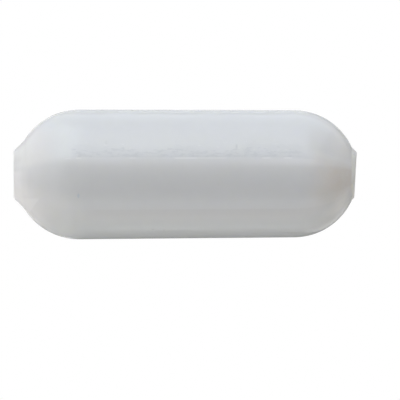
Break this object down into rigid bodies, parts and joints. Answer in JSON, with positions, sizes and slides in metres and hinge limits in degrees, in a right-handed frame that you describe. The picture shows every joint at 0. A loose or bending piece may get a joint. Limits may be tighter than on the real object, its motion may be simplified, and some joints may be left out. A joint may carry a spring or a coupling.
{
  "type": "magnetic stir bar",
  "caption": "Round white PTFE stir bar with domed ends, a small flat-cut boss on each dome and a sealed bar magnet inside.",
  "frame": {"origin": "centre of the square-cut foot flat that the bar stands on", "axes": "+Z along the bar, from the foot to the crown; -X towards the side where the crown's slanted cut is highest"},
  "size_m": [0.0096, 0.0096, 0.0254],
  "materials": {
    "jacket": "smooth semi-gloss, slightly translucent white PTFE",
    "magnet": "cast and ground, dull grey"
  },
  "bodies": {
    "root": {"jacket": "jacket", "magnet": "magnet"}
  },
  "joints": []
}
